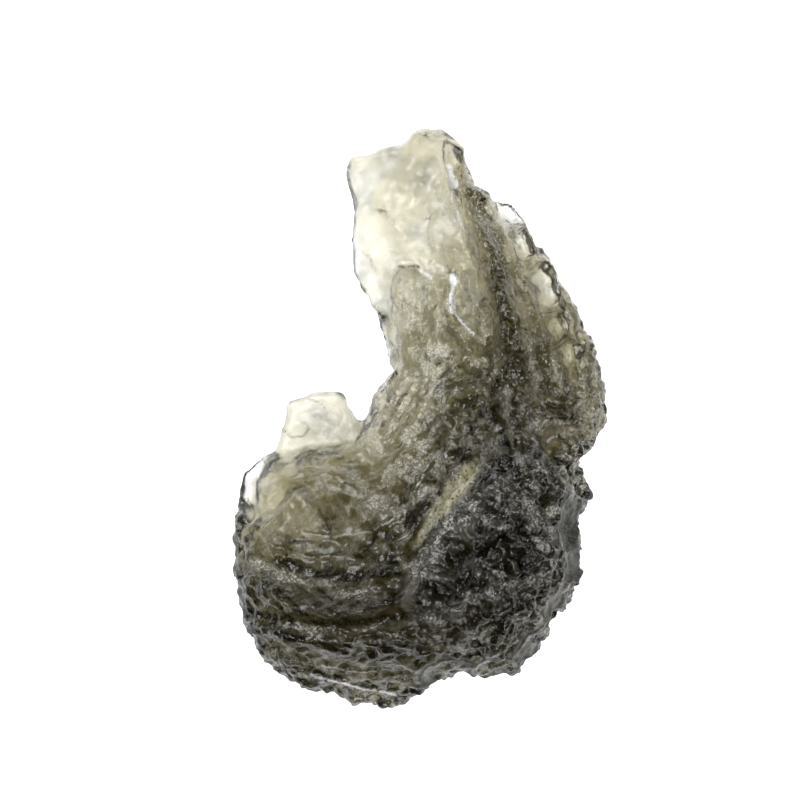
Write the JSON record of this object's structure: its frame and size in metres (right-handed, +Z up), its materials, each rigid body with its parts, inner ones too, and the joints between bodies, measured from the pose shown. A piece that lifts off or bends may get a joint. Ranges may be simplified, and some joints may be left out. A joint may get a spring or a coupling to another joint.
{
  "type": "moldavite",
  "caption": "Hook-shaped raw moldavite: olive tektite glass with a thick pitted body, a spur, a thin clear blade, a ribbed wing and a small clear tab.",
  "frame": {"origin": "centre of the bounding box in plan, at the bottom of the stone, on the surface that it lies on", "axes": "+X to the right and +Y along the stone from the thick body to the tip of the blade, as seen from above; +Z up from the table, through the stone's thickness"},
  "size_m": [0.0258, 0.04, 0.0139],
  "materials": {
    "moldavite_glass": "natural olive tektite glass, see-through where thin and near black where thick, etched and pitted by weather with smooth shell-shaped chips"
  },
  "bodies": {
    "root": {"moldavite": "moldavite_glass"}
  },
  "joints": []
}
